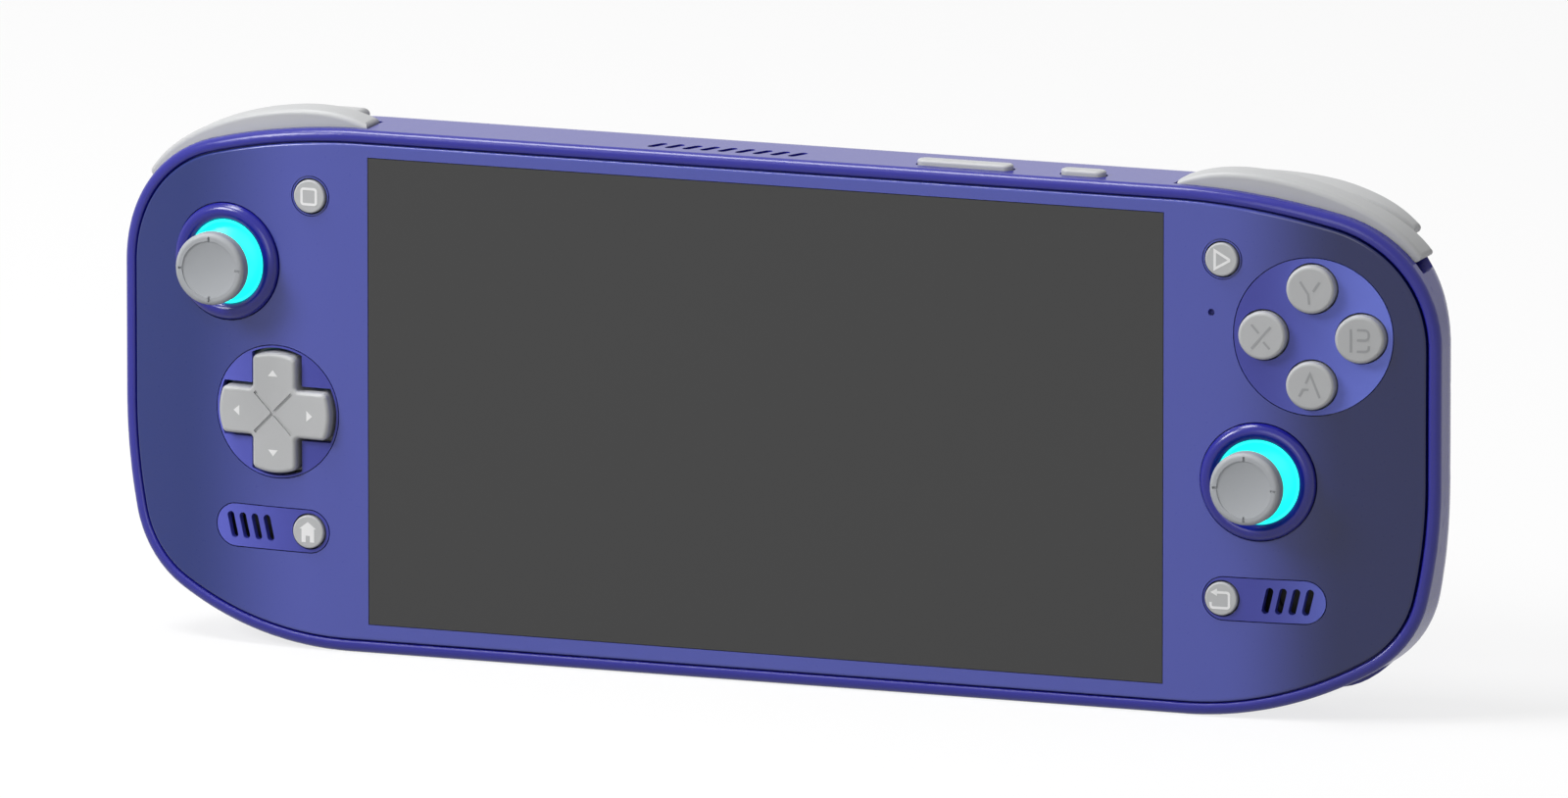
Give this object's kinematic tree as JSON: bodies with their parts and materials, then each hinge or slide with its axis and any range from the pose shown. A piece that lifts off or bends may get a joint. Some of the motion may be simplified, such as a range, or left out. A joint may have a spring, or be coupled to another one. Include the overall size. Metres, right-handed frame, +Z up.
{
  "type": "handheld game console",
  "caption": "Handheld game console: curved indigo case with a wide display, two tilting thumb sticks, direction pad, buttons, shoulder buttons and triggers",
  "frame": {"origin": "Middle of the footprint, on the surface that the lower edge stands on.", "axes": "+X to the right seen from the front, +Y into the screen, +Z up; the face looks along -Y."},
  "size_m": [0.2018, 0.0272, 0.079],
  "materials": {
    "case": "fine satin moulding",
    "panel": "satin gloss coating",
    "plates": "matt",
    "glow": "lit, translucent",
    "stick_cap": "soft matt",
    "glass": "polished",
    "screen": "dark",
    "keys": "satin",
    "metal": "bright",
    "boards": "coated",
    "contact_sheets": "soft",
    "black_plastic": "matt",
    "heat_sink": "plain"
  },
  "bodies": {
    "case": {"abxy_plate": "plates", "audio_jack": "black_plastic", "battery": "black_plastic", "card_socket": "black_plastic", "case_screws": "metal", "display_glass": "glass", "display_module": "screen", "dpad_plate": "plates", "fan_housing": "black_plastic", "front_frame": "case", "front_panel": "panel", "heat_sink": "heat_sink", "left_bumper_pin": "metal", "left_collar": "plates", "left_key_board": "boards", "left_key_sheet": "contact_sheets", "left_light_ring": "glow", "left_speaker": "black_plastic", "left_speaker_plate": "plates", "left_stick_base": "black_plastic", "left_trigger_pin": "metal", "main_board": "boards", "rear_cover": "case", "right_bumper_pin": "metal", "right_collar": "plates", "right_key_board": "boards", "right_key_sheet": "contact_sheets", "right_light_ring": "glow", "right_speaker": "black_plastic", "right_speaker_plate": "plates", "right_stick_base": "black_plastic", "right_trigger_pin": "metal", "usb_c_socket": "metal"},
    "left_bumper": {"left_bumper": "keys"},
    "right_bumper": {"right_bumper": "keys"},
    "left_trigger": {"left_trigger": "keys"},
    "right_trigger": {"right_trigger": "keys"},
    "dpad_pivot": {"dpad_pivot": "black_plastic"},
    "dpad_cross": {"dpad_cross": "keys"},
    "volume_rocker": {"volume_rocker": "keys"},
    "power_button": {"power_button": "keys"},
    "fan_rotor": {"fan_rotor": "black_plastic"},
    "left_gimbal": {"left_gimbal": "metal"},
    "left_stick_shaft": {"left_stick_shaft": "metal"},
    "left_stick": {"left_stick_cap": "stick_cap", "left_stick_dome": "glow"},
    "right_gimbal": {"right_gimbal": "metal"},
    "right_stick_shaft": {"right_stick_shaft": "metal"},
    "right_stick": {"right_stick_cap": "stick_cap", "right_stick_dome": "glow"},
    "button_a": {"button_a": "keys"},
    "button_b": {"button_b": "keys"},
    "button_x": {"button_x": "keys"},
    "button_y": {"button_y": "keys"},
    "capture_button": {"capture_button": "keys"},
    "start_button": {"start_button": "keys"},
    "home_button": {"home_button": "keys"},
    "back_button": {"back_button": "keys"}
  },
  "joints": [
    {"name": "left_stick_up_down", "type": "hinge", "parent": "case", "child": "left_gimbal", "pos_m": [-0.0834, 0.00215, 0.0561], "axis": [1, 0, 0], "range_deg": [-12, 12], "stiffness_Nm_per_rad": 0.05},
    {"name": "left_stick_sideways", "type": "hinge", "parent": "left_gimbal", "child": "left_stick_shaft", "pos_m": [-0.0834, 0.00215, 0.0561], "axis": [0, 0, 1], "range_deg": [-12, 12], "stiffness_Nm_per_rad": 0.05},
    {"name": "left_stick_click", "type": "slide", "parent": "left_stick_shaft", "child": "left_stick", "axis": [0, 1, 0], "range_m": [0, 0.0004], "stiffness_N_per_m": 800},
    {"name": "right_stick_up_down", "type": "hinge", "parent": "case", "child": "right_gimbal", "pos_m": [0.0752, 0.00215, 0.03465], "axis": [1, 0, 0], "range_deg": [-12, 12], "stiffness_Nm_per_rad": 0.05},
    {"name": "right_stick_sideways", "type": "hinge", "parent": "right_gimbal", "child": "right_stick_shaft", "pos_m": [0.0752, 0.00215, 0.03465], "axis": [0, 0, 1], "range_deg": [-12, 12], "stiffness_Nm_per_rad": 0.05},
    {"name": "right_stick_click", "type": "slide", "parent": "right_stick_shaft", "child": "right_stick", "axis": [0, 1, 0], "range_m": [0, 0.0004], "stiffness_N_per_m": 800},
    {"name": "dpad_up_down", "type": "hinge", "parent": "case", "child": "dpad_pivot", "pos_m": [-0.0753, -0.0017, 0.03465], "axis": [1, 0, 0], "range_deg": [-3.5, 3.5], "stiffness_Nm_per_rad": 0.1},
    {"name": "dpad_sideways", "type": "hinge", "parent": "dpad_pivot", "child": "dpad_cross", "pos_m": [-0.0753, -0.0017, 0.03465], "axis": [0, 0, 1], "range_deg": [-3.5, 3.5], "stiffness_Nm_per_rad": 0.1},
    {"name": "button_a_press", "type": "slide", "parent": "case", "child": "button_a", "axis": [0, 1, 0], "range_m": [0, 0.0007], "stiffness_N_per_m": 400},
    {"name": "button_b_press", "type": "slide", "parent": "case", "child": "button_b", "axis": [0, 1, 0], "range_m": [0, 0.0007], "stiffness_N_per_m": 400},
    {"name": "button_x_press", "type": "slide", "parent": "case", "child": "button_x", "axis": [0, 1, 0], "range_m": [0, 0.0007], "stiffness_N_per_m": 400},
    {"name": "button_y_press", "type": "slide", "parent": "case", "child": "button_y", "axis": [0, 1, 0], "range_m": [0, 0.0007], "stiffness_N_per_m": 400},
    {"name": "capture_button_press", "type": "slide", "parent": "case", "child": "capture_button", "axis": [0, 1, 0], "range_m": [0, 0.0007], "stiffness_N_per_m": 400},
    {"name": "start_button_press", "type": "slide", "parent": "case", "child": "start_button", "axis": [0, 1, 0], "range_m": [0, 0.0007], "stiffness_N_per_m": 400},
    {"name": "home_button_press", "type": "slide", "parent": "case", "child": "home_button", "axis": [0, 1, 0], "range_m": [0, 0.0007], "stiffness_N_per_m": 400},
    {"name": "back_button_press", "type": "slide", "parent": "case", "child": "back_button", "axis": [0, 1, 0], "range_m": [0, 0.0007], "stiffness_N_per_m": 400},
    {"name": "left_bumper_swing", "type": "hinge", "parent": "case", "child": "left_bumper", "pos_m": [-0.0646, -0.00285, 0.07585], "axis": [0, -1, 0], "range_deg": [0, 2], "stiffness_Nm_per_rad": 0.2},
    {"name": "left_trigger_swing", "type": "hinge", "parent": "case", "child": "left_trigger", "pos_m": [-0.0669, 0.00475, 0.07455], "axis": [-0.9903, 0, -0.1392], "range_deg": [0, 12], "stiffness_Nm_per_rad": 0.05},
    {"name": "right_bumper_swing", "type": "hinge", "parent": "case", "child": "right_bumper", "pos_m": [0.0646, -0.00285, 0.07585], "axis": [0, 1, 0], "range_deg": [0, 2], "stiffness_Nm_per_rad": 0.2},
    {"name": "right_trigger_swing", "type": "hinge", "parent": "case", "child": "right_trigger", "pos_m": [0.0669, 0.00475, 0.07455], "axis": [-0.9903, 0, 0.1392], "range_deg": [0, 12], "stiffness_Nm_per_rad": 0.05},
    {"name": "volume_rocker_swing", "type": "hinge", "parent": "case", "child": "volume_rocker", "pos_m": [0.02935, -0.00185, 0.07265], "axis": [0, 1, 0], "range_deg": [-2, 2], "stiffness_Nm_per_rad": 0.05},
    {"name": "power_button_press", "type": "slide", "parent": "case", "child": "power_button", "axis": [0, 0, -1], "range_m": [0, 0.0004], "stiffness_N_per_m": 800},
    {"name": "fan_rotor_turn", "type": "hinge", "parent": "case", "child": "fan_rotor", "pos_m": [-0.0072, 0.00315, 0.05015], "axis": [0, 1, 0], "continuous": true}
  ]
}
